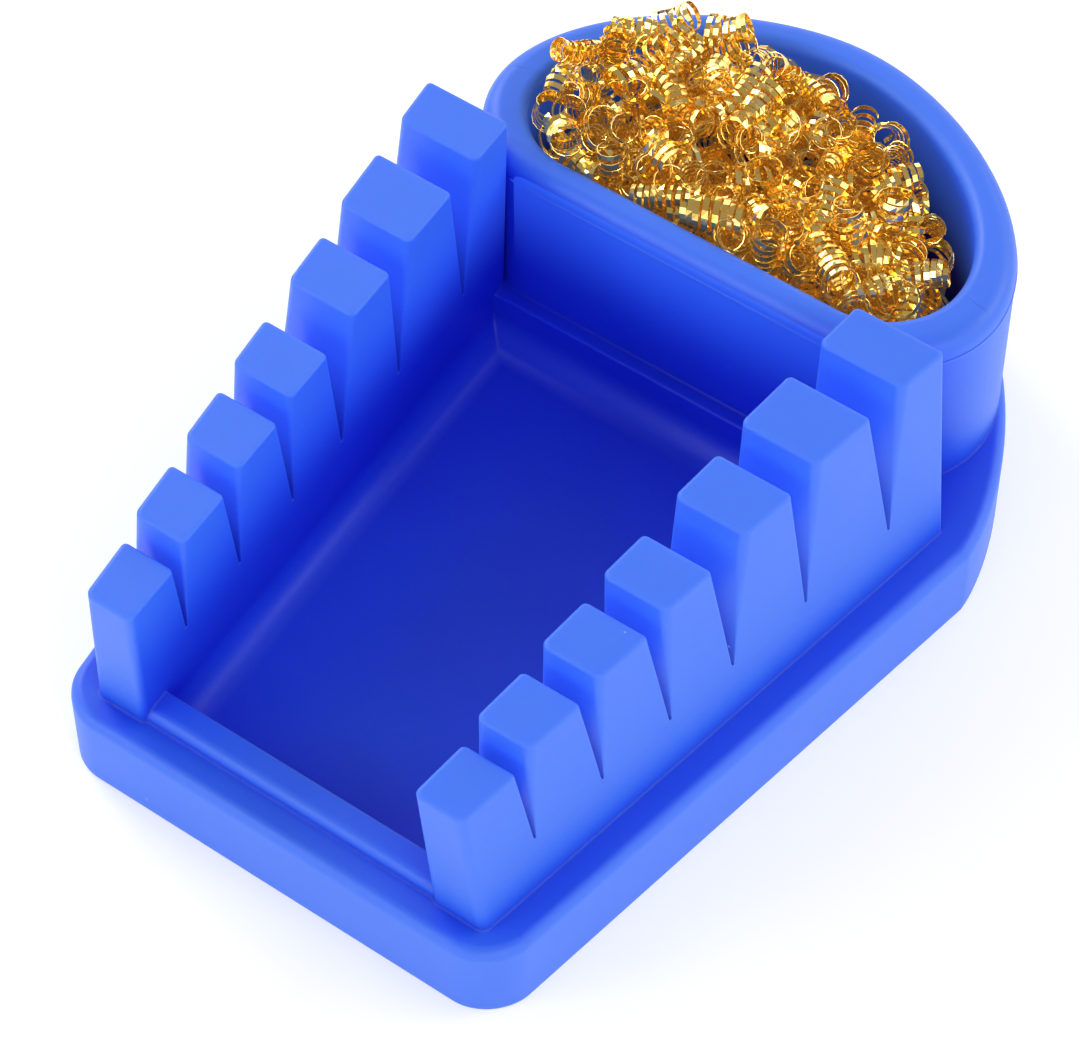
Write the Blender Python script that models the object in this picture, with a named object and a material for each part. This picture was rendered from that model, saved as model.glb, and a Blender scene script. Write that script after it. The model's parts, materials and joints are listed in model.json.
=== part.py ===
"""Soldering stand: a one-piece silicone moulding with a shallow parts tray, two rows of
wire-holding posts and a D-shaped cup that holds loose curls of brass wool.

Metres, +Z up, -Y is the open front of the tray, the origin is under the middle of the base."""

import math

import bmesh
import bpy
from mathutils import Vector
from mathutils.geometry import interpolate_bezier

MM = 0.001

# ---- driving dimensions, millimetres (y is measured back from the front edge of the base) ----
LENGTH = 117.2
BASE_FRONT_HALF = 30.0      # half width of the base at the front
BASE_TAPER = 0.1431         # half width gained per millimetre of length
BASE_STRAIGHT = 75.8        # where the straight sides end and the round rear begins
BASE_HEIGHT = 10.7
BASE_CORNER = 5.5
BASE_EDGE_ROUND = 1.4

WALL_FRONT, WALL_REAR = 3.8, 76.6
WALL_OUT_HALF, WALL_OUT_TAPER = 25.86, 0.1419
WALL_IN_HALF, WALL_IN_TAPER = 19.17, 0.0699
WALL_DRAFT = 0.07           # the outer faces lean in by this much per millimetre of height
WALL_IN_DRAFT = 0.042       # and the inner faces lean over the tray by this much
FRONT_ROUND, REAR_ROUND = 1.05, 0.7      # plan radii of a post's corners at its top
FOOT_ROUND = 1.0            # and of the first post's front corners at its foot
TOP_EDGE_ROUND = 0.45

# one row per post: top front y, top rear y, top height
POSTS = (
    (2.2, 10.2, 31.7),
    (12.2, 19.8, 34.1),
    (22.6, 29.9, 35.7),
    (32.6, 39.7, 37.3),
    (44.7, 52.1, 38.7),
    (55.9, 64.5, 40.2),
    (69.5, 76.4, 40.8),
)
NOTCH_Y = (11.8, 22.0, 32.4, 42.2, 53.9, 67.5)
NOTCH_Z = 19.1
NOTCH_FLAT = 0.35           # width of the notch bottoms

TRAY_FRONT, TRAY_REAR = 7.3, 74.5
TRAY_FLOOR = 5.6
TRAY_FILLET = 4.0
LIP_TOP = 12.4

CUP_FRONT = 76.4
CUP_HALF = 33.6
CUP_WIDEST = 89.4
CUP_REAR = 116.3
CUP_CORNER = 13.0
CUP_TOP = 34.0
RIM_OUTER_ROUND, RIM_INNER_ROUND = 2.4, 1.3
BORE_FRONT, BORE_HALF, BORE_WIDEST, BORE_REAR = 80.4, 28.2, 89.9, 111.8
BORE_CORNER = 9.5
BORE_FLOOR = 5.6
WEB_TOP = 30.6              # solid web that ties the rear posts to the cup

STRAND_WIRE = 0.4           # half thickness of a curled strand
STRAND_PITCH = 4.3
STRAND_BOTTOM = 6.6
STRAND_STEPS = 11           # points per turn
# strand axes: x, y, coil radius, top height
STRANDS = (
    (-20.9, 84.9, 3.55, 37.0), (-12.5, 84.8, 3.7, 36.5), (-4.1, 84.8, 3.7, 36.0),
    (4.3, 84.8, 3.7, 35.2), (12.7, 84.8, 3.7, 34.8), (20.9, 84.9, 3.55, 34.0),
    (-16.9, 92.2, 3.7, 40.0), (-8.4, 92.2, 3.7, 39.5), (0.0, 92.2, 3.7, 39.0),
    (8.4, 92.2, 3.7, 38.0), (16.9, 92.2, 3.7, 36.8),
    (-12.6, 99.5, 3.7, 42.5), (-4.2, 99.5, 3.7, 41.0), (4.2, 99.5, 3.7, 40.0),
    (12.6, 99.5, 3.7, 38.5),
    (-7.9, 106.2, 3.0, 41.0), (0.0, 106.9, 3.5, 40.0), (7.9, 106.2, 3.0, 38.5),
)

for old in list(bpy.data.objects):
    bpy.data.objects.remove(old, do_unlink=True)

scene = bpy.context.scene
parts = bpy.data.collections.new("soldering_stand")
helpers = bpy.data.collections.new("cutters")
scene.collection.children.link(parts)
scene.collection.children.link(helpers)


def material(name, colour, metallic, roughness):
    mat = bpy.data.materials.new(name)
    mat.use_nodes = True
    shader = mat.node_tree.nodes["Principled BSDF"]
    shader.inputs["Base Color"].default_value = (*colour, 1)
    shader.inputs["Metallic"].default_value = metallic
    shader.inputs["Roughness"].default_value = roughness
    return mat


def at(y):
    """A length from the front edge as a y in the centred frame."""
    return y - LENGTH / 2


def extruded(name, near, far):
    """A closed solid between two copies of one flat outline."""
    bm = bmesh.new()
    face = bm.faces.new([bm.verts.new([c * MM for c in p]) for p in near])
    grown = bmesh.ops.extrude_face_region(bm, geom=[face], use_keep_orig=True)
    made = [item for item in grown["geom"] if isinstance(item, bmesh.types.BMVert)]
    shift = (Vector(far[0]) - Vector(near[0])) * MM
    bmesh.ops.translate(bm, verts=made, vec=shift)
    bmesh.ops.recalc_face_normals(bm, faces=bm.faces)
    mesh = bpy.data.meshes.new(name)
    bm.to_mesh(mesh)
    bm.free()
    obj = bpy.data.objects.new(name, mesh)
    helpers.objects.link(obj)
    return obj


def plan_points(spline_points, steps):
    """Points along a closed plan outline. Each knot is (x, y, left handle, right handle)."""
    outline = []
    for i, (x, y, _, after) in enumerate(spline_points):
        x2, y2, before, _ = spline_points[(i + 1) % len(spline_points)]
        knots = [Vector(p) for p in ((x, y), (x + after[0], y + after[1]), (x2 + before[0], y2 + before[1]), (x2, y2))]
        chord = knots[3] - knots[0]
        bowed = max(abs(chord.cross(knots[k] - knots[0])) for k in (1, 2)) > 1e-3 * chord.length
        outline += interpolate_bezier(*knots, steps + 1)[:-1] if bowed else knots[:1]
    return outline


def prism(name, spline_points, z0, z1, steps=6):
    """A closed plan outline between two heights."""
    outline = plan_points(spline_points, steps)
    return extruded(
        name,
        [(p[0], at(p[1]), z0) for p in outline],
        [(p[0], at(p[1]), z1) for p in outline],
    )


def solid_from(guide, name):
    """The evaluated curve as a welded mesh object, and the curve removed."""
    bpy.context.view_layer.update()
    mesh = bpy.data.meshes.new_from_object(
        guide.evaluated_get(bpy.context.evaluated_depsgraph_get())
    )
    mesh.transform(guide.matrix_world)
    bpy.data.objects.remove(guide, do_unlink=True)
    bm = bmesh.new()
    bm.from_mesh(mesh)
    bmesh.ops.remove_doubles(bm, verts=bm.verts, dist=1e-6)
    bmesh.ops.recalc_face_normals(bm, faces=bm.faces)
    bm.to_mesh(mesh)
    bm.free()
    mesh.name = name
    obj = bpy.data.objects.new(name, mesh)
    helpers.objects.link(obj)
    return obj


def round_edges(obj, radius, segments, wanted, clamp=False):
    """Rounds the edges for which wanted(edge) is true."""
    bm = bmesh.new()
    bm.from_mesh(obj.data)
    bmesh.ops.dissolve_limit(
        bm, angle_limit=math.radians(0.5), verts=bm.verts, edges=bm.edges
    )
    bm.normal_update()
    edges = [edge for edge in bm.edges if len(edge.link_faces) == 2 and wanted(edge)]
    bmesh.ops.bevel(
        bm, geom=edges, offset=radius * MM, offset_type="OFFSET", segments=segments,
        profile=0.5, affect="EDGES", clamp_overlap=clamp,
    )
    bmesh.ops.recalc_face_normals(bm, faces=bm.faces)
    bm.to_mesh(obj.data)
    bm.free()


def boolean(obj, operation, other):
    step = obj.modifiers.new(operation.lower(), "BOOLEAN")
    step.operation = operation
    step.solver = "EXACT"
    step.object = other
    bpy.context.view_layer.update()
    mesh = bpy.data.meshes.new_from_object(
        obj.evaluated_get(bpy.context.evaluated_depsgraph_get())
    )
    obj.modifiers.clear()
    obj.data = mesh
    bpy.data.objects.remove(other, do_unlink=True)


def block(name, corner):
    """A cube whose eight corners are moved by corner(sx, sy, sz)."""
    bm = bmesh.new()
    bmesh.ops.create_cube(bm, size=2)
    for vert in bm.verts:
        x, y, z = corner(*(round(value) for value in vert.co))
        vert.co = (x * MM, at(y) * MM, z * MM)
    bmesh.ops.recalc_face_normals(bm, faces=bm.faces)
    mesh = bpy.data.meshes.new(name)
    bm.to_mesh(mesh)
    bm.free()
    obj = bpy.data.objects.new(name, mesh)
    helpers.objects.link(obj)
    return obj


def side_profile(name, outline, half):
    """An outline of (y, z) swept across the whole width."""
    return extruded(
        name,
        [(-half, at(y), z) for y, z in outline],
        [(half, at(y), z) for y, z in outline],
    )


def rounded_plan(front, half, widest, rear, corner, side_handle, rear_handle):
    """A plan outline with a flat front, two round front corners and a bowed rear."""
    k = corner * 0.5523
    depth = rear - widest
    near = front + corner
    return [
        (half - corner, front, (-1, 0), (k, 0)),
        (half, near, (0, -k), (0, (widest - near) / 3 + 0.01)),
        (half, widest + 0.02, (0, -0.01), (0, depth * side_handle)),
        (0, rear, (half * rear_handle, 0), (-half * rear_handle, 0)),
        (-half, widest + 0.02, (0, depth * side_handle), (0, -0.01)),
        (-half, near, (0, (widest - near) / 3 + 0.01), (0, -k)),
        (-half + corner, front, (-k, 0), (1, 0)),
    ]


def inner_half(y, z):
    """Half width of the tray between the walls."""
    return WALL_IN_HALF + WALL_IN_TAPER * y - WALL_IN_DRAFT * (z - BASE_HEIGHT)


def outer_half(y, z):
    """Half width over the outside of the walls."""
    return WALL_OUT_HALF + WALL_OUT_TAPER * y - WALL_DRAFT * (z - BASE_HEIGHT)


def cup_shell(name, steps, rim_steps, line=0.0):
    """The cup with its bore and rounded rim, as loops of points stacked from the outside to the bore floor.
    A line over 0 adds the thin raised line where the mould parts, below the rim."""
    outside = plan_points(rounded_plan(CUP_FRONT, CUP_HALF, CUP_WIDEST, CUP_REAR, CUP_CORNER, 0.5, 0.45), steps)
    inside = plan_points(
        rounded_plan(BORE_FRONT, BORE_HALF, BORE_WIDEST, BORE_REAR, BORE_CORNER, 0.5, 0.46), steps
    )

    def grown(points, by):
        found = []
        for i, point in enumerate(points):
            ahead = (points[(i + 1) % len(points)] - point).normalized()
            behind = (point - points[i - 1]).normalized()
            way = (ahead + behind).normalized()
            found.append((point.x + way.y * by, point.y - way.x * by))
        return found

    loops = [(grown(outside, 0), 2)]
    if line:
        low = CUP_TOP - RIM_OUTER_ROUND - 0.6
        loops += [(grown(outside, by), z) for by, z in ((0, low), (line, low + 0.02), (line, low + 0.22), (0, low + 0.24))]
    for k in range(rim_steps + 1):
        turn = math.pi / 2 * k / rim_steps
        loops.append((
            grown(outside, -RIM_OUTER_ROUND * (1 - math.cos(turn))),
            CUP_TOP - RIM_OUTER_ROUND * (1 - math.sin(turn)),
        ))
    for k in range(rim_steps, -1, -1):
        turn = math.pi / 2 * k / rim_steps
        loops.append((
            grown(inside, RIM_INNER_ROUND * (1 - math.cos(turn))),
            CUP_TOP - RIM_INNER_ROUND * (1 - math.sin(turn)),
        ))
    loops.append((grown(inside, 0), BORE_FLOOR))
    bm = bmesh.new()
    rings = [[bm.verts.new((x * MM, at(y) * MM, z * MM)) for x, y in points] for points, z in loops]
    for low, high in zip(rings, rings[1:]):
        for i in range(len(low)):
            k = (i + 1) % len(low)
            bm.faces.new([low[i], low[k], high[k], high[i]])
    bm.faces.new(rings[0][::-1])
    bm.faces.new(rings[-1])
    bmesh.ops.recalc_face_normals(bm, faces=bm.faces)
    mesh = bpy.data.meshes.new(name)
    bm.to_mesh(mesh)
    bm.free()
    obj = bpy.data.objects.new(name, mesh)
    helpers.objects.link(obj)
    return obj


def post_wall(name, sign, steps):
    """One wall and its row of posts. Each post's front corners start sharp in the notch and
    open into a wide round at its top; the first post's are round all the way down."""
    bm = bmesh.new()
    made = {}

    def vert(x, y, z):
        key = (round(x, 4), round(y, 4), round(z, 4))
        if key not in made:
            made[key] = bm.verts.new((sign * x * MM, at(y) * MM, z * MM))
        return made[key]

    def corner(y, z, outside, fore, radius):
        """Points from the side face round to the front (fore -1) or rear (fore 1) face."""
        x = outer_half(y, z) if outside else inner_half(y, z)
        taper = WALL_OUT_TAPER if outside else WALL_IN_TAPER
        if radius == 0:
            return [vert(x, y, z)]
        found = []
        for k in range(steps + 1):
            turn = math.pi / 2 * k / steps
            along = -fore * radius * (1 - math.sin(turn))
            across = radius * (1 - math.cos(turn)) * (-1 if outside else 1)
            found.append(vert(x + taper * along + across, y + along, z))
        return found

    def skin(low, high):
        """Faces between two corner arcs, either of which may be a single point."""
        for k in range(max(len(low), len(high)) - 1):
            ring = [low[min(k, len(low) - 1)], low[min(k + 1, len(low) - 1)]]
            ring += [high[min(k + 1, len(high) - 1)], high[min(k, len(high) - 1)]]
            bm.faces.new(list(dict.fromkeys(ring)))

    sides = ([], [])
    foot = None
    for i, (front, back, height) in enumerate(POSTS):
        first, last = i == 0, i == len(POSTS) - 1
        y0, z0 = (WALL_FRONT, 4) if first else (NOTCH_Y[i - 1] + NOTCH_FLAT / 2, NOTCH_Z)
        y1, z1 = (WALL_REAR, 4) if last else (NOTCH_Y[i] - NOTCH_FLAT / 2, NOTCH_Z)
        arcs = []
        for outside in (0, 1):
            low_front = corner(y0, z0, outside, -1, FOOT_ROUND if first else 0)
            top_front = corner(front, height, outside, -1, FRONT_ROUND)
            top_back = corner(back, height, outside, 1, REAR_ROUND)
            low_back = corner(y1, z1, outside, 1, 0)
            skin(low_front, top_front)
            skin(low_back, top_back)
            sides[outside].extend([low_front[0], top_front[0], top_back[0], low_back[0]])
            arcs.append((low_front, top_front, top_back, low_back))
        a, b = arcs
        bm.faces.new([a[0][-1], b[0][-1], b[1][-1], a[1][-1]])
        bm.faces.new([a[3][-1], b[3][-1], b[2][-1], a[2][-1]])
        bm.faces.new(a[1] + b[1][::-1] + b[2] + a[2][::-1])
        if last:
            bm.faces.new(foot + [b[3][0], a[3][0]])
        else:
            if first:
                foot = a[0] + b[0][::-1]
            y2 = NOTCH_Y[i] + NOTCH_FLAT / 2
            bm.faces.new([a[3][0], b[3][0], *corner(y2, z1, 1, 1, 0), *corner(y2, z1, 0, 1, 0)])
    for side in sides:
        bm.faces.new(list(dict.fromkeys(side)))
    bmesh.ops.recalc_face_normals(bm, faces=bm.faces)
    mesh = bpy.data.meshes.new(name)
    bm.to_mesh(mesh)
    bm.free()
    obj = bpy.data.objects.new(name, mesh)
    helpers.objects.link(obj)
    tips = min(height for _, _, height in POSTS) - 1
    round_edges(
        obj, TOP_EDGE_ROUND, max(2, steps // 2),
        lambda e: any(f.normal.z > 0.99 and f.calc_center_median().z > tips * MM for f in e.link_faces),
    )
    return obj


# ---- base plate: narrow square front, straight sides that open out, bowed rear ----
side = BASE_FRONT_HALF + BASE_TAPER * BASE_STRAIGHT
r = BASE_CORNER
rear = LENGTH - BASE_STRAIGHT
base = prism(
    "body",
    [
        (BASE_FRONT_HALF - r, 0, (-1, 0), (r * 0.56, 0)),
        (BASE_FRONT_HALF + BASE_TAPER * r, r, (-0.4, -r * 0.52), (BASE_TAPER, 1)),
        (side, BASE_STRAIGHT, (-BASE_TAPER, -1), (-0.4, rear * 0.25)),
        (0, LENGTH, (side * 0.66, 0), (-side * 0.66, 0)),
        (-side, BASE_STRAIGHT, (0.4, rear * 0.25), (BASE_TAPER, -1)),
        (-BASE_FRONT_HALF - BASE_TAPER * r, r, (-BASE_TAPER, 1), (0.4, -r * 0.52)),
        (-BASE_FRONT_HALF + r, 0, (-r * 0.56, 0), (1, 0)),
    ],
    0,
    BASE_HEIGHT,
    steps=9,
)
round_edges(
    base, BASE_EDGE_ROUND, 3,
    lambda e: all(v.co.z > (BASE_HEIGHT - 0.01) * MM for v in e.verts),
)

# ---- raised block between the walls: front lip and rear step ----
bar = block(
    "tray_rim",
    lambda sx, sy, sz: (
        sx * (WALL_IN_HALF + WALL_IN_TAPER * (WALL_FRONT if sy < 0 else CUP_FRONT + 2) + 1.5),
        WALL_FRONT if sy < 0 else CUP_FRONT + 2,
        LIP_TOP if sz > 0 else 3,
    ),
)
round_edges(
    bar, 1.3, 4,
    lambda e: all(v.co.z > (LIP_TOP - 0.01) * MM and v.co.y < at(WALL_FRONT + 0.1) * MM for v in e.verts),
)

# ---- two walls with posts ----
walls = [post_wall("wall", sign, 4) for sign in (-1, 1)]

# ---- tray: the space between the walls, and the pocket below the lip ----
tray = block(
    "tray_plan",
    lambda sx, sy, sz: (
        sx * (0.02 + inner_half(TRAY_FRONT - 12 if sy < 0 else CUP_FRONT + 2, 60 if sz > 0 else TRAY_FLOOR - 2)),
        TRAY_FRONT - 12 if sy < 0 else CUP_FRONT + 2,
        60 if sz > 0 else TRAY_FLOOR - 2,
    ),
)
boolean(
    tray,
    "INTERSECT",
    side_profile(
        "tray_side",
        [
            (TRAY_FRONT, TRAY_FLOOR), (TRAY_REAR, TRAY_FLOOR), (TRAY_REAR, LIP_TOP),
            (CUP_FRONT + 1.6, LIP_TOP), (CUP_FRONT + 1.6, 55), (-8, 55), (-8, LIP_TOP), (TRAY_FRONT, LIP_TOP),
        ],
        60,
    ),
)
round_edges(
    tray, TRAY_FILLET, 4,
    lambda e: all(v.co.z < (TRAY_FLOOR + 0.01) * MM for v in e.verts),
)

# ---- cup ----
cup = cup_shell("cup", 10, 5)
seat = rounded_plan(
    BORE_FRONT - 1.6, BORE_HALF + 1.8, BORE_WIDEST, BORE_REAR + 1.6, BORE_CORNER + 1.5, 0.5, 0.46
)

boolean(base, "UNION", bar)
for wall in walls:
    boolean(base, "UNION", wall)
boolean(base, "DIFFERENCE", tray)
boolean(base, "DIFFERENCE", prism("seat", seat, 4, 60, steps=10))
boolean(base, "UNION", cup)
for sign in (-1, 1):
    web = block(
        "web",
        lambda sx, sy, sz, sign=sign: (
            sign * (32.6 if sx * sign > 0 else 26.0) - sign * (0.8 if sz > 0 else 0.0),
            CUP_FRONT - 2 if sy < 0 else CUP_FRONT + 5.2,
            WEB_TOP if sz > 0 else 7,
        ),
    )
    boolean(base, "UNION", web)

bm = bmesh.new()
bm.from_mesh(base.data)
bmesh.ops.remove_doubles(bm, verts=bm.verts, dist=2e-6)
bmesh.ops.triangulate(bm, faces=bm.faces)
bm.to_mesh(base.data)
bm.free()
base.name = "body"
base.data.materials.clear()
base.data.materials.append(material("silicone_blue", (0.05, 0.14, 0.78), 0, 0.45))
helpers.objects.unlink(base)
parts.objects.link(base)

# ---- brass wool: curled strands standing side by side in the cup ----
for number, (x, y, radius, top) in enumerate(STRANDS, 1):
    turns = (top - STRAND_BOTTOM) / STRAND_PITCH
    count = int(turns * STRAND_STEPS)
    curve = bpy.data.curves.new("strand", "CURVE")
    curve.dimensions = "3D"
    curve.bevel_depth = STRAND_WIRE * MM
    curve.bevel_resolution = 1
    curve.use_fill_caps = True
    spline = curve.splines.new("POLY")
    spline.points.add(count)
    hand = 1 if number % 2 else -1
    for i, point in enumerate(spline.points):
        turn = hand * 2 * math.pi * i / STRAND_STEPS + number
        swell = 1 - 0.16 * (0.5 + 0.5 * math.sin(i * 0.13 + number * 1.7))
        point.co = (
            (x + radius * swell * math.cos(turn)) * MM,
            (at(y) + radius * swell * math.sin(turn)) * MM,
            (STRAND_BOTTOM + (top - STRAND_BOTTOM) * i / count) * MM,
            1,
        )
    guide = bpy.data.objects.new("strand", curve)
    helpers.objects.link(guide)
    strand = solid_from(guide, f"wool_strand_{number:02d}")
    strand.data.materials.append(
        material(f"brass_{number:02d}", (0.72, 0.47, 0.12), 1, 0.22)
    )
    helpers.objects.unlink(strand)
    parts.objects.link(strand)

for obj in helpers.objects:
    obj.hide_render = True
    obj.display_type = "WIRE"
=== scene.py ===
import json
import math

import bmesh
import bpy
import numpy as np
from mathutils import Matrix, Vector
from mathutils.geometry import interpolate_bezier


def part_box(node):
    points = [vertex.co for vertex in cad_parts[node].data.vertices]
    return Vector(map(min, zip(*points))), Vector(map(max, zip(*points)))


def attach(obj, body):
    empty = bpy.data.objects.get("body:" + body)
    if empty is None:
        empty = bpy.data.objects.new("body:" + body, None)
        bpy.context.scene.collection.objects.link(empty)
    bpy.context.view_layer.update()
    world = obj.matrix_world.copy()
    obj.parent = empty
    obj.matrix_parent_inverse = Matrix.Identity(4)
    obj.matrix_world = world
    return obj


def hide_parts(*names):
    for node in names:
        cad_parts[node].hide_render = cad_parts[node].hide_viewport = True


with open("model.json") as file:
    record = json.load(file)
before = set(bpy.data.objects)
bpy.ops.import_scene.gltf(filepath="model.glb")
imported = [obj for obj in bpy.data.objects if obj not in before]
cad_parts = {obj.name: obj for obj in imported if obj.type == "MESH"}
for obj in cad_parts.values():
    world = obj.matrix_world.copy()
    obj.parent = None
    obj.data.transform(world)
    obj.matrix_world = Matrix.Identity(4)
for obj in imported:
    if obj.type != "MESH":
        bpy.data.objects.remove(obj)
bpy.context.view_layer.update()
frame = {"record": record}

MM = 0.001

# ---- driving dimensions, millimetres (y is measured back from the front edge of the base) ----
LENGTH = 117.2
BASE_FRONT_HALF = 30.0      # half width of the base at the front
BASE_TAPER = 0.1431         # half width gained per millimetre of length
BASE_STRAIGHT = 75.8        # where the straight sides end and the round rear begins
BASE_HEIGHT = 10.7
BASE_CORNER = 5.5
BASE_EDGE_ROUND = 1.4

WALL_FRONT, WALL_REAR = 3.8, 76.6
WALL_OUT_HALF, WALL_OUT_TAPER = 25.86, 0.1419
WALL_IN_HALF, WALL_IN_TAPER = 19.17, 0.0699
WALL_DRAFT = 0.07           # the outer faces lean in by this much per millimetre of height
WALL_IN_DRAFT = 0.042       # and the inner faces lean over the tray by this much
FRONT_ROUND, REAR_ROUND = 1.05, 0.7      # plan radii of a post's corners at its top
FOOT_ROUND = 1.0            # and of the first post's front corners at its foot
TOP_EDGE_ROUND = 0.45

# one row per post: top front y, top rear y, top height
POSTS = (
    (2.2, 10.2, 31.7),
    (12.2, 19.8, 34.1),
    (22.6, 29.9, 35.7),
    (32.6, 39.7, 37.3),
    (44.7, 52.1, 38.7),
    (55.9, 64.5, 40.2),
    (69.5, 76.4, 40.8),
)
NOTCH_Y = (11.8, 22.0, 32.4, 42.2, 53.9, 67.5)
NOTCH_Z = 19.1
NOTCH_FLAT = 0.35           # width of the notch bottoms

TRAY_FRONT, TRAY_REAR = 7.3, 74.5
TRAY_FLOOR = 5.6
TRAY_FILLET = 4.0
LIP_TOP = 12.4

CUP_FRONT = 76.4
CUP_HALF = 33.6
CUP_WIDEST = 89.4
CUP_REAR = 116.3
CUP_CORNER = 13.0
CUP_TOP = 34.0
RIM_OUTER_ROUND, RIM_INNER_ROUND = 2.4, 1.3
BORE_FRONT, BORE_HALF, BORE_WIDEST, BORE_REAR = 80.4, 28.2, 89.9, 111.8
BORE_CORNER = 9.5
BORE_FLOOR = 5.6
WEB_TOP = 30.6              # solid web that ties the rear posts to the cup

HEAP_SEED = 41
RIBBON_WIDTH = 0.64
RIBBON_THICK = 0.06
# painted shade: how open a place on the moulding is, and the colour painted there, deeper and darker where the
# moulding closes in
SILICONE_SHADE_TONES = (
    (0.25, (0.0035, 0.012, 0.60)),
    (0.55, (0.0075, 0.060, 0.75)),
    (0.80, (0.0210, 0.118, 0.76)),
    (1.00, (0.0460, 0.165, 0.77)),
)

helpers = bpy.data.collections.new("helpers")
bpy.context.scene.collection.children.link(helpers)


def at(y):
    """A length from the front edge as a y in the centred frame."""
    return y - LENGTH / 2


def extruded(name, near, far):
    """A closed solid between two copies of one flat outline."""
    bm = bmesh.new()
    face = bm.faces.new([bm.verts.new([c * MM for c in p]) for p in near])
    grown = bmesh.ops.extrude_face_region(bm, geom=[face], use_keep_orig=True)
    made = [item for item in grown["geom"] if isinstance(item, bmesh.types.BMVert)]
    shift = (Vector(far[0]) - Vector(near[0])) * MM
    bmesh.ops.translate(bm, verts=made, vec=shift)
    bmesh.ops.recalc_face_normals(bm, faces=bm.faces)
    mesh = bpy.data.meshes.new(name)
    bm.to_mesh(mesh)
    bm.free()
    obj = bpy.data.objects.new(name, mesh)
    helpers.objects.link(obj)
    return obj


def plan_points(spline_points, steps):
    """Points along a closed plan outline. Each knot is (x, y, left handle, right handle)."""
    outline = []
    for i, (x, y, _, after) in enumerate(spline_points):
        x2, y2, before, _ = spline_points[(i + 1) % len(spline_points)]
        knots = [Vector(p) for p in ((x, y), (x + after[0], y + after[1]), (x2 + before[0], y2 + before[1]), (x2, y2))]
        chord = knots[3] - knots[0]
        bowed = max(abs(chord.cross(knots[k] - knots[0])) for k in (1, 2)) > 1e-3 * chord.length
        outline += interpolate_bezier(*knots, steps + 1)[:-1] if bowed else knots[:1]
    return outline


def prism(name, spline_points, z0, z1, steps=6):
    """A closed plan outline between two heights."""
    outline = plan_points(spline_points, steps)
    return extruded(
        name,
        [(p[0], at(p[1]), z0) for p in outline],
        [(p[0], at(p[1]), z1) for p in outline],
    )


def round_edges(obj, radius, segments, wanted, clamp=False):
    """Rounds the edges for which wanted(edge) is true."""
    bm = bmesh.new()
    bm.from_mesh(obj.data)
    bmesh.ops.dissolve_limit(
        bm, angle_limit=math.radians(0.5), verts=bm.verts, edges=bm.edges
    )
    bm.normal_update()
    edges = [edge for edge in bm.edges if len(edge.link_faces) == 2 and wanted(edge)]
    bmesh.ops.bevel(
        bm, geom=edges, offset=radius * MM, offset_type="OFFSET", segments=segments,
        profile=0.5, affect="EDGES", clamp_overlap=clamp,
    )
    bmesh.ops.recalc_face_normals(bm, faces=bm.faces)
    bm.to_mesh(obj.data)
    bm.free()


def block(name, corner):
    """A cube whose eight corners are moved by corner(sx, sy, sz)."""
    bm = bmesh.new()
    bmesh.ops.create_cube(bm, size=2)
    for vert in bm.verts:
        x, y, z = corner(*(round(value) for value in vert.co))
        vert.co = (x * MM, at(y) * MM, z * MM)
    bmesh.ops.recalc_face_normals(bm, faces=bm.faces)
    mesh = bpy.data.meshes.new(name)
    bm.to_mesh(mesh)
    bm.free()
    obj = bpy.data.objects.new(name, mesh)
    helpers.objects.link(obj)
    return obj


def side_profile(name, outline, half):
    """An outline of (y, z) swept across the whole width."""
    return extruded(
        name,
        [(-half, at(y), z) for y, z in outline],
        [(half, at(y), z) for y, z in outline],
    )


def rounded_plan(front, half, widest, rear, corner, side_handle, rear_handle):
    """A plan outline with a flat front, two round front corners and a bowed rear."""
    k = corner * 0.5523
    depth = rear - widest
    near = front + corner
    return [
        (half - corner, front, (-1, 0), (k, 0)),
        (half, near, (0, -k), (0, (widest - near) / 3 + 0.01)),
        (half, widest + 0.02, (0, -0.01), (0, depth * side_handle)),
        (0, rear, (half * rear_handle, 0), (-half * rear_handle, 0)),
        (-half, widest + 0.02, (0, depth * side_handle), (0, -0.01)),
        (-half, near, (0, (widest - near) / 3 + 0.01), (0, -k)),
        (-half + corner, front, (-k, 0), (1, 0)),
    ]


def inner_half(y, z):
    """Half width of the tray between the walls."""
    return WALL_IN_HALF + WALL_IN_TAPER * y - WALL_IN_DRAFT * (z - BASE_HEIGHT)


def outer_half(y, z):
    """Half width over the outside of the walls."""
    return WALL_OUT_HALF + WALL_OUT_TAPER * y - WALL_DRAFT * (z - BASE_HEIGHT)


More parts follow.
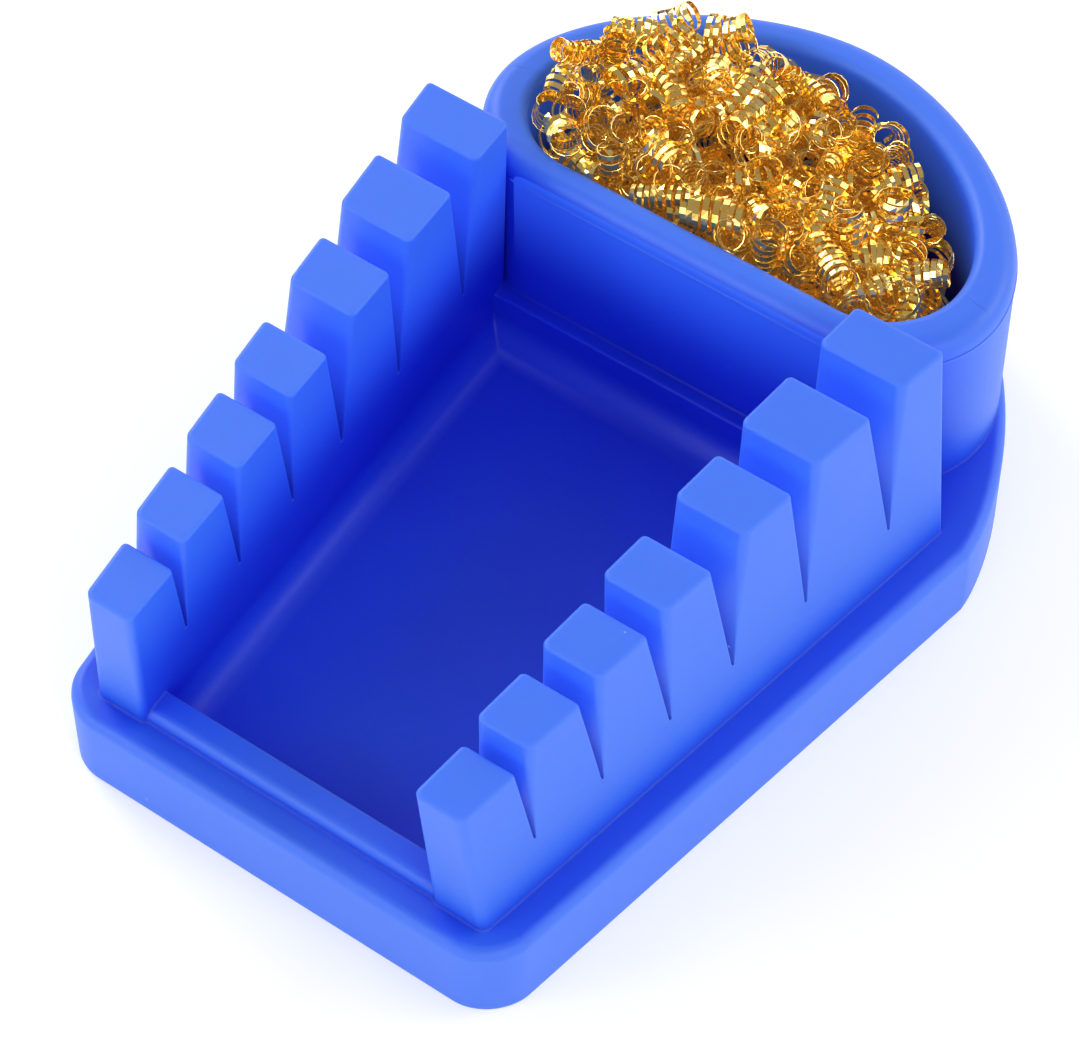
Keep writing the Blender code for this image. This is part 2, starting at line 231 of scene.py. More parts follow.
def cup_shell(name, steps, rim_steps, line=0.0):
    """The cup with its bore and rounded rim, as loops of points stacked from the outside to the bore floor.
    A line over 0 adds the thin raised line where the mould parts, below the rim."""
    outside = plan_points(rounded_plan(CUP_FRONT, CUP_HALF, CUP_WIDEST, CUP_REAR, CUP_CORNER, 0.5, 0.45), steps)
    inside = plan_points(
        rounded_plan(BORE_FRONT, BORE_HALF, BORE_WIDEST, BORE_REAR, BORE_CORNER, 0.5, 0.46), steps
    )

    def grown(points, by):
        found = []
        for i, point in enumerate(points):
            ahead = (points[(i + 1) % len(points)] - point).normalized()
            behind = (point - points[i - 1]).normalized()
            way = (ahead + behind).normalized()
            found.append((point.x + way.y * by, point.y - way.x * by))
        return found

    loops = [(grown(outside, 0), 2)]
    if line:
        low = CUP_TOP - RIM_OUTER_ROUND - 0.6
        loops += [(grown(outside, by), z) for by, z in ((0, low), (line, low + 0.02), (line, low + 0.22), (0, low + 0.24))]
    for k in range(rim_steps + 1):
        turn = math.pi / 2 * k / rim_steps
        loops.append((
            grown(outside, -RIM_OUTER_ROUND * (1 - math.cos(turn))),
            CUP_TOP - RIM_OUTER_ROUND * (1 - math.sin(turn)),
        ))
    for k in range(rim_steps, -1, -1):
        turn = math.pi / 2 * k / rim_steps
        loops.append((
            grown(inside, RIM_INNER_ROUND * (1 - math.cos(turn))),
            CUP_TOP - RIM_INNER_ROUND * (1 - math.sin(turn)),
        ))
    loops.append((grown(inside, 0), BORE_FLOOR))
    bm = bmesh.new()
    rings = [[bm.verts.new((x * MM, at(y) * MM, z * MM)) for x, y in points] for points, z in loops]
    for low, high in zip(rings, rings[1:]):
        for i in range(len(low)):
            k = (i + 1) % len(low)
            bm.faces.new([low[i], low[k], high[k], high[i]])
    bm.faces.new(rings[0][::-1])
    bm.faces.new(rings[-1])
    bmesh.ops.recalc_face_normals(bm, faces=bm.faces)
    mesh = bpy.data.meshes.new(name)
    bm.to_mesh(mesh)
    bm.free()
    obj = bpy.data.objects.new(name, mesh)
    helpers.objects.link(obj)
    return obj


def post_wall(name, sign, steps):
    """One wall and its row of posts. Each post's front corners start sharp in the notch and
    open into a wide round at its top; the first post's are round all the way down."""
    bm = bmesh.new()
    made = {}

    def vert(x, y, z):
        key = (round(x, 4), round(y, 4), round(z, 4))
        if key not in made:
            made[key] = bm.verts.new((sign * x * MM, at(y) * MM, z * MM))
        return made[key]

    def corner(y, z, outside, fore, radius):
        """Points from the side face round to the front (fore -1) or rear (fore 1) face."""
        x = outer_half(y, z) if outside else inner_half(y, z)
        taper = WALL_OUT_TAPER if outside else WALL_IN_TAPER
        if radius == 0:
            return [vert(x, y, z)]
        found = []
        for k in range(steps + 1):
            turn = math.pi / 2 * k / steps
            along = -fore * radius * (1 - math.sin(turn))
            across = radius * (1 - math.cos(turn)) * (-1 if outside else 1)
            found.append(vert(x + taper * along + across, y + along, z))
        return found

    def skin(low, high):
        """Faces between two corner arcs, either of which may be a single point."""
        for k in range(max(len(low), len(high)) - 1):
            ring = [low[min(k, len(low) - 1)], low[min(k + 1, len(low) - 1)]]
            ring += [high[min(k + 1, len(high) - 1)], high[min(k, len(high) - 1)]]
            bm.faces.new(list(dict.fromkeys(ring)))

    sides = ([], [])
    foot = None
    for i, (front, back, height) in enumerate(POSTS):
        first, last = i == 0, i == len(POSTS) - 1
        y0, z0 = (WALL_FRONT, 4) if first else (NOTCH_Y[i - 1] + NOTCH_FLAT / 2, NOTCH_Z)
        y1, z1 = (WALL_REAR, 4) if last else (NOTCH_Y[i] - NOTCH_FLAT / 2, NOTCH_Z)
        arcs = []
        for outside in (0, 1):
            low_front = corner(y0, z0, outside, -1, FOOT_ROUND if first else 0)
            top_front = corner(front, height, outside, -1, FRONT_ROUND)
            top_back = corner(back, height, outside, 1, REAR_ROUND)
            low_back = corner(y1, z1, outside, 1, 0)
            skin(low_front, top_front)
            skin(low_back, top_back)
            sides[outside].extend([low_front[0], top_front[0], top_back[0], low_back[0]])
            arcs.append((low_front, top_front, top_back, low_back))
        a, b = arcs
        bm.faces.new([a[0][-1], b[0][-1], b[1][-1], a[1][-1]])
        bm.faces.new([a[3][-1], b[3][-1], b[2][-1], a[2][-1]])
        bm.faces.new(a[1] + b[1][::-1] + b[2] + a[2][::-1])
        if last:
            bm.faces.new(foot + [b[3][0], a[3][0]])
        else:
            if first:
                foot = a[0] + b[0][::-1]
            y2 = NOTCH_Y[i] + NOTCH_FLAT / 2
            bm.faces.new([a[3][0], b[3][0], *corner(y2, z1, 1, 1, 0), *corner(y2, z1, 0, 1, 0)])
    for side in sides:
        bm.faces.new(list(dict.fromkeys(side)))
    bmesh.ops.recalc_face_normals(bm, faces=bm.faces)
    mesh = bpy.data.meshes.new(name)
    bm.to_mesh(mesh)
    bm.free()
    obj = bpy.data.objects.new(name, mesh)
    helpers.objects.link(obj)
    tips = min(height for _, _, height in POSTS) - 1
    round_edges(
        obj, TOP_EDGE_ROUND, max(2, steps // 2),
        lambda e: any(f.normal.z > 0.99 and f.calc_center_median().z > tips * MM for f in e.link_faces),
    )
    return obj


def boolean(obj, operation, other):
    step = obj.modifiers.new(operation.lower(), "BOOLEAN")
    step.operation = operation
    step.solver = "EXACT"
    step.object = other
    bake(obj)
    bpy.data.objects.remove(other, do_unlink=True)


def bake(obj):
    bpy.context.view_layer.update()
    mesh = bpy.data.meshes.new_from_object(
        obj.evaluated_get(bpy.context.evaluated_depsgraph_get())
    )
    obj.modifiers.clear()
    obj.data = mesh


# ------------------------------------------------------------------ silicone moulding
def build_moulding():
    side = BASE_FRONT_HALF + BASE_TAPER * BASE_STRAIGHT
    r = BASE_CORNER
    rear = LENGTH - BASE_STRAIGHT
    base = prism(
        "silicone_moulding",
        [
            (BASE_FRONT_HALF - r, 0, (-1, 0), (r * 0.56, 0)),
            (BASE_FRONT_HALF + BASE_TAPER * r, r, (-0.4, -r * 0.52), (BASE_TAPER, 1)),
            (side, BASE_STRAIGHT, (-BASE_TAPER, -1), (-0.4, rear * 0.25)),
            (0, LENGTH, (side * 0.66, 0), (-side * 0.66, 0)),
            (-side, BASE_STRAIGHT, (0.4, rear * 0.25), (BASE_TAPER, -1)),
            (-BASE_FRONT_HALF - BASE_TAPER * r, r, (-BASE_TAPER, 1), (0.4, -r * 0.52)),
            (-BASE_FRONT_HALF + r, 0, (-r * 0.56, 0), (1, 0)),
        ],
        0, BASE_HEIGHT, steps=36,
    )
    round_edges(
        base, BASE_EDGE_ROUND, 6,
        lambda e: all(v.co.z > (BASE_HEIGHT - 0.01) * MM for v in e.verts),
    )
    bar = block(
        "tray_rim",
        lambda sx, sy, sz: (
            sx * (WALL_IN_HALF + WALL_IN_TAPER * (WALL_FRONT if sy < 0 else CUP_FRONT + 2) + 1.5),
            WALL_FRONT if sy < 0 else CUP_FRONT + 2,
            LIP_TOP if sz > 0 else 3,
        ),
    )
    round_edges(
        bar, 1.3, 7,
        lambda e: all(v.co.z > (LIP_TOP - 0.01) * MM and v.co.y < at(WALL_FRONT + 0.1) * MM for v in e.verts),
    )
    walls = [post_wall("wall", sign, 10) for sign in (-1, 1)]
    tray = block(
        "tray_plan",
        lambda sx, sy, sz: (
            sx * (0.02 + inner_half(TRAY_FRONT - 12 if sy < 0 else CUP_FRONT + 2, 60 if sz > 0 else TRAY_FLOOR - 2)),
            TRAY_FRONT - 12 if sy < 0 else CUP_FRONT + 2,
            60 if sz > 0 else TRAY_FLOOR - 2,
        ),
    )
    boolean(
        tray, "INTERSECT",
        side_profile(
            "tray_side",
            [
                (TRAY_FRONT, TRAY_FLOOR), (TRAY_REAR, TRAY_FLOOR), (TRAY_REAR, LIP_TOP),
                (CUP_FRONT + 1.6, LIP_TOP), (CUP_FRONT + 1.6, 55), (-8, 55), (-8, LIP_TOP), (TRAY_FRONT, LIP_TOP),
            ],
            60,
        ),
    )
    round_edges(
        tray, TRAY_FILLET, 8,
        lambda e: all(v.co.z < (TRAY_FLOOR + 0.01) * MM for v in e.verts),
    )
    cup = cup_shell("cup", 36, 9, line=0.10)
    seat = rounded_plan(
        BORE_FRONT - 1.6, BORE_HALF + 1.8, BORE_WIDEST, BORE_REAR + 1.6, BORE_CORNER + 1.5, 0.5, 0.46
    )
    boolean(base, "UNION", bar)
    for wall in walls:
        boolean(base, "UNION", wall)
    boolean(base, "DIFFERENCE", tray)
    boolean(base, "DIFFERENCE", prism("seat", seat, 4, 60, steps=20))
    boolean(base, "UNION", cup)
    for sign in (-1, 1):
        web = block(
            "web",
            lambda sx, sy, sz, sign=sign: (
                sign * (32.6 if sx * sign > 0 else 26.0) - sign * (0.8 if sz > 0 else 0.0),
                CUP_FRONT - 2 if sy < 0 else CUP_FRONT + 5.2,
                WEB_TOP if sz > 0 else 7,
            ),
        )
        boolean(base, "UNION", web)
    return base


def smooth_finish(obj):
    """Smooth shading over the rounds, flat shading kept on the flats."""
    mesh = obj.data
    bm = bmesh.new()
    bm.from_mesh(mesh)
    bmesh.ops.remove_doubles(bm, verts=bm.verts, dist=2e-6)
    bmesh.ops.dissolve_limit(bm, angle_limit=math.radians(0.4), verts=bm.verts, edges=bm.edges)
    bm.to_mesh(mesh)
    bm.free()
    for polygon in mesh.polygons:
        polygon.use_smooth = True
    mesh.set_sharp_from_angle(angle=math.radians(32))
    even = obj.modifiers.new("even_normals", "WEIGHTED_NORMAL")
    even.keep_sharp = True
    even.weight = 90
    even.mode = "FACE_AREA"


def nearest(points, outline):
    """Distance from each (x, y) to the outline, positive inside, and the nearest place on it."""
    a = outline
    b = np.roll(outline, -1, axis=0)
    d = b - a
    length2 = (d ** 2).sum(1) + 1e-12
    best = np.full(len(points), 1e9)
    foot = np.zeros_like(points)
    for k in range(len(a)):
        t = np.clip(((points - a[k]) @ d[k]) / length2[k], 0, 1)
        q = a[k] + t[:, None] * d[k]
        e = ((points - q) ** 2).sum(1)
        better = e < best
        best[better] = e[better]
        foot[better] = q[better]
    x, y = points[:, 0], points[:, 1]
    inside = np.zeros(len(points), bool)
    for k in range(len(a)):
        (x1, y1), (x2, y2) = a[k], b[k]
        crosses = ((y1 > y) != (y2 > y)) & (x < (x2 - x1) * (y - y1) / (y2 - y1 + 1e-15) + x1)
        inside ^= crosses
    return np.where(inside, 1, -1) * np.sqrt(best), foot


moulding = build_moulding()
smooth_finish(moulding)


# ------------------------------------------------------------------ materials
class Nodes:
    """Short calls for building one shader tree."""

    def __init__(self, name):
        self.material = bpy.data.materials.new(name)
        self.material.use_nodes = True
        self.tree = self.material.node_tree
        self.shader = self.tree.nodes["Principled BSDF"]
        self.out = self.tree.nodes["Material Output"]

    def add(self, kind, settings=None, **inputs):
        node = self.tree.nodes.new(kind)
        for key, value in (settings or {}).items():
            setattr(node, key, value)
        for key, value in inputs.items():
            self.put(node, key, value)
        return node

    def put(self, node, key, value):
        socket = node.inputs[int(key[1:])] if key[0] == "i" and key[1:].isdigit() else node.inputs[key.replace("_", " ")]
        if isinstance(value, bpy.types.NodeSocket):
            self.tree.links.new(value, socket)
        elif hasattr(socket.default_value, "__len__") and not hasattr(value, "__len__"):
            socket.default_value = [value] * len(socket.default_value)
        else:
            socket.default_value = value

    def math(self, operation, a, b=0.0, c=0.0):
        return self.add("ShaderNodeMath", {"operation": operation}, i0=a, i1=b, i2=c).outputs[0]

    def ramp(self, value, stops):
        node = self.add("ShaderNodeValToRGB", None, Fac=value)
        while len(node.color_ramp.elements) < len(stops):
            node.color_ramp.elements.new(0.5)
        for element, (place, colour) in zip(node.color_ramp.elements, stops):
            element.position = place
            element.color = (*colour, 1) if len(colour) == 3 else colour
        return node.outputs["Color"]

    def mix(self, fac, a, b):
        node = self.add("ShaderNodeMix", {"data_type": "RGBA"})
        self.put(node, "i0", fac)
        for place, value in ((6, a), (7, b)):
            if isinstance(value, bpy.types.NodeSocket):
                self.tree.links.new(value, node.inputs[place])
            else:
                node.inputs[place].default_value = (*value, 1) if len(value) == 3 else value
        return node.outputs[2]


def silicone():
    n = Nodes("silicone_blue")
    place = n.add("ShaderNodeTexCoord").outputs["Object"]
    cloud = n.add("ShaderNodeTexNoise", None, Vector=place, Scale=38.0, Detail=3.0, Roughness=0.55).outputs["Fac"]
    # painted shade: the colour is deep and dark where the moulding closes in on itself, from ambient occlusion, and
    # pale where it is open
    hollow = n.add("ShaderNodeAmbientOcclusion", {"samples": 5, "only_local": True}, Distance=0.060).outputs["AO"]
    split = n.add("ShaderNodeSeparateXYZ", None, i0=place)
    # painted light: paler higher up, towards the post tops and near the height of the cup's rim, standing in for light
    # through the thin silicone
    tip = n.add("ShaderNodeMapRange", {"interpolation_type": "SMOOTHSTEP"}, i0=split.outputs[2], i1=0.016, i2=0.036, i3=0.0, i4=1.0).outputs[0]
    posts = n.math("LESS_THAN", split.outputs[1], (CUP_FRONT - LENGTH / 2 + 0.2) * MM)
    rim = n.add("ShaderNodeMapRange", {"interpolation_type": "SMOOTHSTEP"}, i0=split.outputs[2], i1=0.0305, i2=0.034, i3=0.0, i4=0.25).outputs[0]
    painted_tip_light = n.math("MAXIMUM", n.math("MULTIPLY", n.math("MULTIPLY", tip, posts), 0.30), rim)
    open_air = n.math("ADD", hollow, painted_tip_light)
    open_air = n.math("ADD", open_air, n.math("MULTIPLY_ADD", cloud, 0.10, -0.05))
    colour = n.ramp(open_air, SILICONE_SHADE_TONES)
    # rounded edges, and a painted highlight along the open convex edges where thin flash catches the light
    soft = n.add("ShaderNodeBevel", {"samples": 6}, Radius=0.0005).outputs["Normal"]
    flat = n.add("ShaderNodeNewGeometry").outputs["Normal"]
    turn = n.add("ShaderNodeVectorMath", {"operation": "DOT_PRODUCT"}, i0=soft, i1=flat).outputs["Value"]
    edge = n.math("MULTIPLY", n.math("SUBTRACT", 1.0, turn), 9.0)
    edge = n.math("MINIMUM", edge, 1.0)
    painted_highlight_mask = n.add("ShaderNodeMapRange", {"interpolation_type": "SMOOTHSTEP"}, i0=hollow, i1=0.56, i2=0.74, i3=0.0, i4=0.42).outputs[0]
    colour = n.mix(n.math("MULTIPLY", edge, painted_highlight_mask), colour, (0.16, 0.36, 0.95))
    # dust: rare pale specks of a few tenths of a millimetre
    cells = n.add("ShaderNodeTexVoronoi", {"feature": "F1"}, Vector=place, Scale=230.0, Randomness=1.0)
    sparse = n.math("GREATER_THAN", n.add("ShaderNodeSeparateColor", None, Color=cells.outputs["Color"]).outputs[0], 0.965)
    tiny = n.math("LESS_THAN", cells.outputs["Distance"], 0.055)
    speck = n.math("MULTIPLY", sparse, tiny)
    colour = n.mix(n.math("MULTIPLY", speck, 0.5), colour, (0.40, 0.55, 1.0))
    n.put(n.shader, "Base Color", colour)
    smear = n.add("ShaderNodeTexNoise", None, Vector=place, Scale=90.0, Detail=4.0).outputs["Fac"]
    n.put(n.shader, "Roughness", n.math("MULTIPLY_ADD", smear, 0.14, 0.38))
    n.put(n.shader, "Subsurface Weight", 0.45)
    n.put(n.shader, "Subsurface Radius", (0.25, 0.45, 1.0))
    n.put(n.shader, "Subsurface Scale", 0.0022)
    n.put(n.shader, "Specular IOR Level", 0.46)
    # light that comes through the thin posts into the faces that turn towards each other,
    # and through the cup's wall into the top of the bore
    shade = n.math("SUBTRACT", 1.0, hollow)
    glow = n.math("MULTIPLY", n.math("MULTIPLY", tip, posts), n.math("MULTIPLY", shade, 0.62))
    bore = n.math("GREATER_THAN", split.outputs[1], (BORE_FRONT - LENGTH / 2 - 0.6) * MM)
    high = n.add("ShaderNodeMapRange", {"interpolation_type": "SMOOTHSTEP"}, i0=split.outputs[2], i1=0.018, i2=0.033, i3=0.0, i4=0.62).outputs[0]
    wall = n.math("MULTIPLY", n.math("MULTIPLY", bore, high), shade)
    n.put(n.shader, "Emission Color", (0.040, 0.130, 0.56, 1))
    n.put(n.shader, "Emission Strength", n.math("ADD", glow, wall))
    fine = n.add("ShaderNodeTexNoise", None, Vector=place, Scale=2600.0, Detail=2.0).outputs["Fac"]
    wide = n.add("ShaderNodeTexNoise", None, Vector=place, Scale=160.0, Detail=2.0).outputs["Fac"]
    height = n.math("ADD", n.math("MULTIPLY", fine, 0.25), n.math("MULTIPLY", wide, 1.0))
    height = n.math("ADD", height, n.math("MULTIPLY", speck, 2.0))
    bump = n.add("ShaderNodeBump", None, Strength=0.22, Distance=0.00006, Height=height, Normal=soft).outputs["Normal"]
    n.put(n.shader, "Normal", bump)
    return n.material


def brass(number):
    n = Nodes(f"brass_ribbon_{number:02d}")
    place = n.add("ShaderNodeTexCoord").outputs["Object"]
    patch = n.add("ShaderNodeTexNoise", None, Vector=place, Scale=240.0 + 7 * number, Detail=2.0).outputs["Fac"]
    colour = n.ramp(patch, [(0.25, (0.97, 0.60, 0.12)), (0.5, (1.0, 0.72, 0.20)), (0.78, (1.0, 0.86, 0.46))])
    n.put(n.shader, "Base Color", colour)
    n.put(n.shader, "Metallic", 1.0)
    grain = n.add("ShaderNodeTexNoise", None, Vector=place, Scale=1400.0, Detail=3.0).outputs["Fac"]
    n.put(n.shader, "Roughness", n.math("MULTIPLY_ADD", grain, 0.10, 0.08))
    # the light that the ribbons pass on to each other deep in the heap
    n.put(n.shader, "Emission Color", (0.034, 0.019, 0.004, 1))
    n.put(n.shader, "Emission Strength", 1.0)
    bump = n.add("ShaderNodeBump", None, Strength=0.2, Distance=0.00003, Height=grain).outputs["Normal"]
    n.put(n.shader, "Normal", bump)
    return n.material


moulding.data.materials.clear()
moulding.data.materials.append(silicone())
helpers.objects.unlink(moulding)
bpy.context.scene.collection.objects.link(moulding)
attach(moulding, "stand")
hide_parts("body")


# ------------------------------------------------------------------ brass wool
BORE_PLAN = np.array([tuple(p) for p in plan_points(
    rounded_plan(BORE_FRONT, BORE_HALF, BORE_WIDEST, BORE_REAR, BORE_CORNER, 0.5, 0.46), 6
)])


def smooth(a, b, x):
    t = np.clip((x - a) / (b - a), 0, 1)
    return t * t * (3 - 2 * t)


def heap_top(x, y):
    """Height of the heap: highest at the rear left, sinking towards the rear right."""
    left = smooth(4, -18, x)
    rear = smooth(82, 99, y)
    return 35.8 + left * (1.2 + 2.9 * rear) - smooth(8, 24, x) * (1.2 + 3.4 * smooth(84, 92, y))


def heap_gap(x, y):
    """How far the heap keeps from the wall: it leaves the rear and the right of the bore bare."""
    rear = smooth(97, 102, y) * smooth(-12, -2, x)
    right = smooth(17, 23, x) * smooth(82, 88, y)
    return -1.2 + 3.4 * rear + (1.6 - 1.4 * rear) * right


def ribbon_coil(rng, centre, direction, radius, turns, pitch, bend, per_turn):
    """Corner points of a flat ribbon wound on a bent axis: four lines of points along it."""
    direction = direction / np.linalg.norm(direction)
    across = np.cross(direction, rng.normal(size=3))
    across /= np.linalg.norm(across)
    third = np.cross(direction, across)
    count = max(8, int(turns * per_turn))
    t = np.linspace(0, turns, count)
    along = (t - turns / 2) * pitch
    arc = bend / max(turns * pitch, 1)
    arc = arc if abs(arc) > 1e-4 else 1e-4
    swing = arc * along
    axis = centre + direction * (np.sin(swing) / arc)[:, None] + across * ((1 - np.cos(swing)) / arc)[:, None]
    tangent = direction * np.cos(swing)[:, None] + across * np.sin(swing)[:, None]
    side = across * np.cos(swing)[:, None] - direction * np.sin(swing)[:, None]
    phase = 2 * math.pi * t * rng.choice([-1, 1]) + rng.uniform(0, 6.28)
    swell = radius * (1 + 0.13 * np.sin(t * rng.uniform(0.5, 1.2) + rng.uniform(0, 6)))
    out = side * np.cos(phase)[:, None] + third * np.sin(phase)[:, None]
    slack = 0.22 * pitch * np.sin(t * rng.uniform(0.7, 1.5) + rng.uniform(0, 6))
    core = axis + out * swell[:, None] + tangent * slack[:, None]
    tip = 0.5 * RIBBON_WIDTH * rng.uniform(0.88, 1.15)
    lean = rng.uniform(-0.25, 0.25) + rng.normal(0, 0.05, count)[:, None]
    wide = tangent * np.cos(lean) + out * np.sin(lean)
    thin = out * np.cos(lean) - tangent * np.sin(lean)
    h = RIBBON_THICK / 2
    return np.stack(
        [core - wide * tip - thin * h, core + wide * tip - thin * h, core + wide * tip + thin * h, core - wide * tip + thin * h],
        axis=1,
    )


# springs that stand clear of the heap at its low side: x, y, z, lean x, lean y
LONE_SPRINGS = (
    (10.0, 99.5, 33.5, 0.15, -0.1), (15.8, 96.2, 33.0, -0.1, 0.2), (20.0, 92.0, 31.5, 0.25, 0.1),
    (13.2, 91.0, 34.5, -0.3, 0.1), (5.0, 102.0, 34.0, 0.1, -0.3), (21.5, 87.2, 30.5, 0.2, -0.2),
)


def build_wool():
    rng = np.random.RandomState(HEAP_SEED)
    stems = [(name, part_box(name)) for name in sorted(frame["record"]["behaviour"]["bodies"]["brass_wool"])]
    seats = np.array([[(lo[0] + hi[0]) / 2 / MM, (lo[1] + hi[1]) / 2 / MM + LENGTH / 2] for _, (lo, hi) in stems])
    piles = [[] for _ in stems]
    coils = []
    taken = np.zeros((0, 4))
    # springs are laid side by side, highest first: (tries, how many, depth below the surface, spacing)
    for tries, wanted, depth, spacing in (
        (3800, 360, (-0.8, 1.6), 0.49), (2600, 280, (1.4, 4.2), 0.48), (1500, 220, (4.2, 9.0), 0.50), (600, 90, (10.0, 22.0), 0.5),
    ):
        made = 0
        for _ in range(tries):
            if made == wanted:
                break
            x, y = rng.uniform(-BORE_HALF - 2, BORE_HALF), rng.uniform(BORE_FRONT - 0.6, BORE_REAR)
            radius = rng.uniform(1.45, 2.05)
            turns = rng.uniform(4.0, 9.5)
            pitch = rng.uniform(0.88, 1.10)
            if rng.uniform() < 0.10:  # a few wide, short ones
                radius, turns, pitch = rng.uniform(2.3, 2.8), rng.uniform(1.4, 2.6), rng.uniform(0.5, 0.8)
            way = rng.normal(size=3)
            way[2] *= 0.5
            if rng.uniform() < 0.36:  # many springs show their open end
                way = np.array([0.36, -0.49, 0.79]) + 0.48 * rng.normal(size=3)
                turns = min(turns, 5.5)
            way /= np.linalg.norm(way)
            half = turns * pitch / 2
            rise = half * abs(way[2]) + radius * math.sqrt(max(0.0, 1 - way[2] ** 2))
            z = float(heap_top(x, y)) - rise - rng.uniform(*depth)
            if z < BORE_FLOOR + 3:
                continue
            places = np.array([[x, y, z]]) + np.linspace(-half, half, 5)[:, None] * way
            inset = nearest(places[:, :2], BORE_PLAN)[0]
            gap = heap_gap(places[:, 0], places[:, 1])
            # below the rim a spring stays inside the wall; above it, it may hang over
            gap = np.where(places[:, 2] - radius < CUP_TOP - 0.8, np.maximum(gap, 0.25), gap)
            if (inset - gap).min() < radius * 0.85:
                continue
            if len(taken):
                apart = np.linalg.norm(taken[None, :, :3] - places[:, None], axis=2)
                if (apart < spacing * (taken[None, :, 3] + radius)).any():
                    continue
            taken = np.vstack([taken, np.hstack([places, np.full((5, 1), radius)])])
            coils.append((x, y, z, way, radius, turns, pitch, rng.uniform(-1.2, 1.2), 15))
            made += 1
    for x, y, z, lean_x, lean_y in LONE_SPRINGS:
        coils.append((x, y, z, np.array([lean_x, lean_y, 1.0]), rng.uniform(1.7, 2.1), rng.uniform(4, 6.5), 1.05, rng.uniform(-0.5, 0.5), 16))
    for x, y, z, way, radius, turns, pitch, bend, per_turn in coils:
        corners = ribbon_coil(rng, np.array([x, y, z]), way, radius, turns, pitch, bend, per_turn)
        shape = corners.shape
        points = corners.reshape(-1, 3)
        inset, foot = nearest(points[:, :2], BORE_PLAN)
        # ribbons that would reach into the cup wall are pressed back against it
        deep = (points[:, 2] < CUP_TOP + 0.6) & (inset < 0.3)
        inward = np.array([0.0, 95.0]) - foot
        inward /= np.linalg.norm(inward, axis=1)[:, None]
        points[deep, :2] = foot[deep] + inward[deep] * (0.3 + 0.3 * np.clip(-inset[deep], 0, 1))[:, None]
        points[:, 2] = np.maximum(points[:, 2], BORE_FLOOR + 0.3)
        seat = int(((seats - [x, y]) ** 2).sum(1).argmin())
        piles[seat].append(points.reshape(shape))
    for (name, _), pile, number in zip(stems, piles, range(1, len(stems) + 1)):
        verts, faces = [], []
        for corners in pile:
            start = len(verts)
            count = len(corners)
            verts += [tuple(p) for p in corners.reshape(-1, 3)]
            for i in range(count - 1):
                a, b = start + 4 * i, start + 4 * (i + 1)
                for k in range(4):
                    faces.append((a + k, a + (k + 1) % 4, b + (k + 1) % 4, b + k))
            faces.append((start + 3, start + 2, start + 1, start))
            last = start + 4 * (count - 1)
            faces.append((last, last + 1, last + 2, last + 3))
        data = np.array(verts)
        data[:, 1] -= LENGTH / 2
        data *= MM
        mesh = bpy.data.meshes.new(f"wool_curls_{number:02d}")
        mesh.from_pydata([tuple(v) for v in data], [], faces)
        bm = bmesh.new()
        bm.from_mesh(mesh)
        bmesh.ops.recalc_face_normals(bm, faces=bm.faces)
        bm.to_mesh(mesh)
        bm.free()
        mesh.materials.append(brass(number))
        curls = bpy.data.objects.new(f"wool_curls_{number:02d}", mesh)
        bpy.context.scene.collection.objects.link(curls)
        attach(curls, "brass_wool")
        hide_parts(name)


build_wool()

# ------------------------------------------------------------------ studio
floor_mesh = bpy.data.meshes.new("studio_floor")
bm = bmesh.new()
bmesh.ops.create_grid(bm, x_segments=8, y_segments=8, size=2.5)
bm.to_mesh(floor_mesh)
bm.free()
floor = bpy.data.objects.new("studio_floor", floor_mesh)
floor.location.z = -0.00005
bpy.context.scene.collection.objects.link(floor)
paper = Nodes("studio_paper")
tone = paper.add("ShaderNodeTexNoise", None, Scale=3.0, Detail=1.0).outputs["Fac"]
paper.put(paper.shader, "Base Color", paper.mix(tone, (0.875, 0.868, 0.872), (0.885, 0.878, 0.882)))
paper.put(paper.shader, "Roughness", 0.85)
paper.put(paper.shader, "Specular IOR Level", 0.1)
paper.put(paper.shader, "Emission Color", (1.0, 1.0, 1.0, 1))
paper.put(paper.shader, "Emission Strength", 0.25)
floor_mesh.materials.append(paper.material)

world = bpy.data.worlds.new("studio")
bpy.context.scene.world = world
world.use_nodes = True
tree = world.node_tree
background = tree.nodes["Background"]
coords = tree.nodes.new("ShaderNodeTexCoord")
split = tree.nodes.new("ShaderNodeSeparateXYZ")
tree.links.new(coords.outputs["Generated"], split.inputs[0])
shade = tree.nodes.new("ShaderNodeValToRGB")
# a ring of bright panels low down, and dim above and below it
for place, tone in ((0.0, 0.05), (0.20, 0.05), (0.25, 0.9), (0.50, 0.9), (0.56, 0.13), (0.86, 0.13), (1.0, 0.13)):
    stop = shade.color_ramp.elements[-1] if place == 1.0 else shade.color_ramp.elements.new(place)
    stop.position = place
    stop.color = (tone, tone, tone * 1.03, 1)
shade.color_ramp.elements.remove(shade.color_ramp.elements[0])
tree.links.new(split.outputs[2], shade.inputs[0])
tree.links.new(shade.outputs[0], background.inputs[0])
background.inputs[1].default_value = 2.45


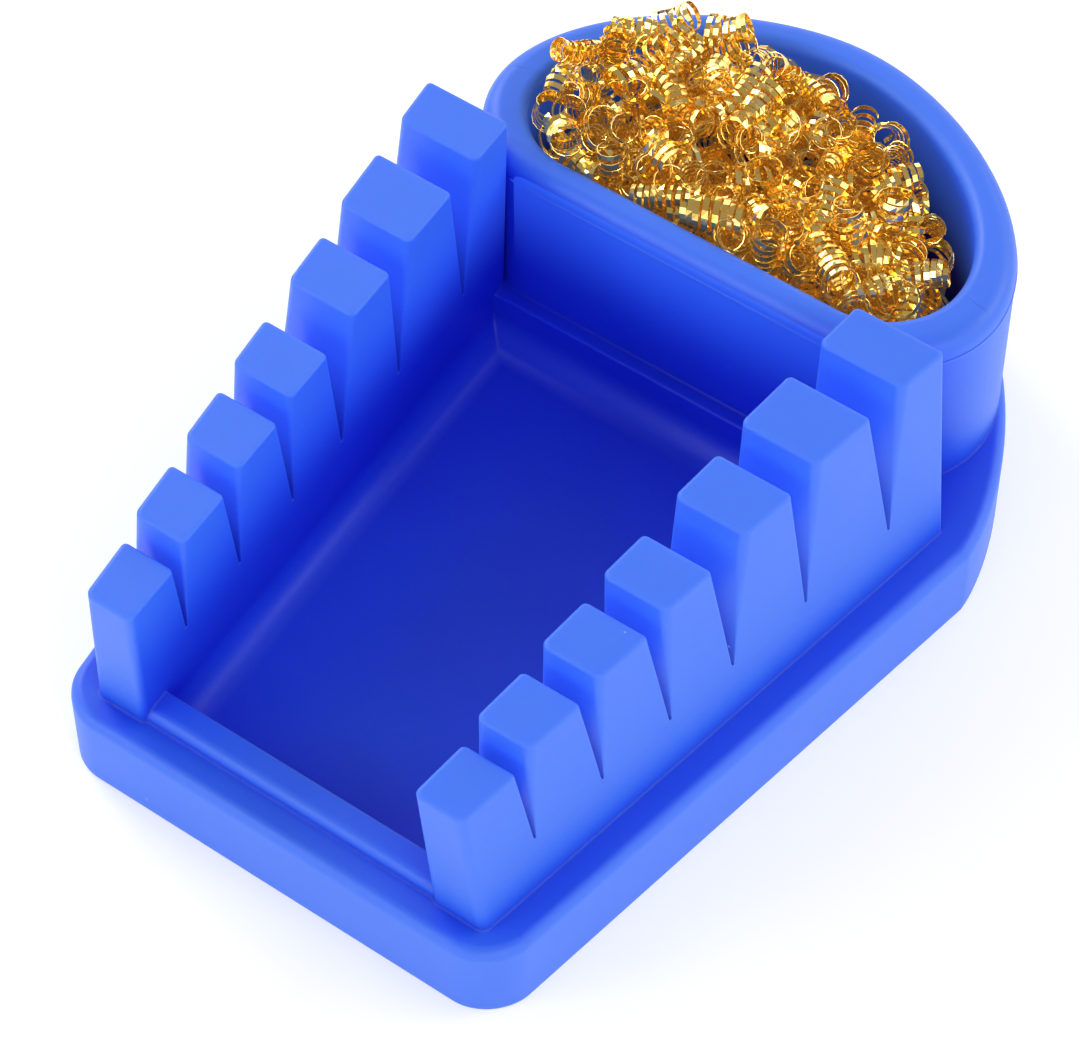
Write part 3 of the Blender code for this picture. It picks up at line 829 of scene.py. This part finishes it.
def softbox(name, place, size, power, colour=(1, 1, 1)):
    light = bpy.data.lights.new(name, "AREA")
    light.shape = "RECTANGLE"
    light.size, light.size_y = size
    light.energy = power
    light.color = colour
    lamp = bpy.data.objects.new(name, light)
    bpy.context.scene.collection.objects.link(lamp)
    lamp.location = place
    aim = Vector((0, 0, 0.01)) - Vector(place)
    lamp.rotation_euler = aim.to_track_quat("-Z", "Y").to_euler()
    return lamp


softbox("key", (-0.85, 0.25, 0.65), (0.36, 0.36), 3.2)
softbox("front_left", (-0.60, -0.80, 0.60), (0.32, 0.32), 1.8)
softbox("front_right", (0.80, -0.40, 0.75), (0.32, 0.32), 2.0)
softbox("rear_right", (0.70, 0.75, 0.60), (0.32, 0.32), 2.0)
softbox("overhead", (0.10, 0.10, 1.20), (0.20, 0.20), 0.8)

AZ, EL, ROLL = math.radians(36.40), math.radians(52.36), math.radians(-0.5185)
FOCAL, CX, CY = 4024.8, 519.53, 529.82
TARGET = Vector((-2.4045, 53.1911 - 3.84 - LENGTH / 2, 10.0))
back = Vector((math.sin(AZ) * math.cos(EL), -math.cos(AZ) * math.cos(EL), math.sin(EL)))
right = Vector((math.cos(AZ), math.sin(AZ), 0))
up = back.cross(right)
right, up = (
    math.cos(ROLL) * right + math.sin(ROLL) * up,
    -math.sin(ROLL) * right + math.cos(ROLL) * up,
)
camera = bpy.data.cameras.new("camera")
camera.sensor_fit = "HORIZONTAL"
camera.sensor_width = 36.0
camera.lens = FOCAL / 1080 * 36.0
camera.shift_x = (540 - CX) / 1080
camera.shift_y = (CY - 530.5) / 1080
camera.clip_start = 0.01
camera.clip_end = 20
viewer = bpy.data.objects.new("camera", camera)
bpy.context.scene.collection.objects.link(viewer)
place = (TARGET + back * 456.076) * MM
viewer.matrix_world = Matrix(
    (
        (right.x, up.x, back.x, place.x),
        (right.y, up.y, back.y, place.y),
        (right.z, up.z, back.z, place.z),
        (0, 0, 0, 1),
    )
)
bpy.context.scene.camera = viewer
bpy.context.scene.view_settings.view_transform = "Standard"
bpy.context.scene.view_settings.look = "None"
bpy.context.scene.view_settings.exposure = 0.0

bpy.data.collections.remove(helpers)
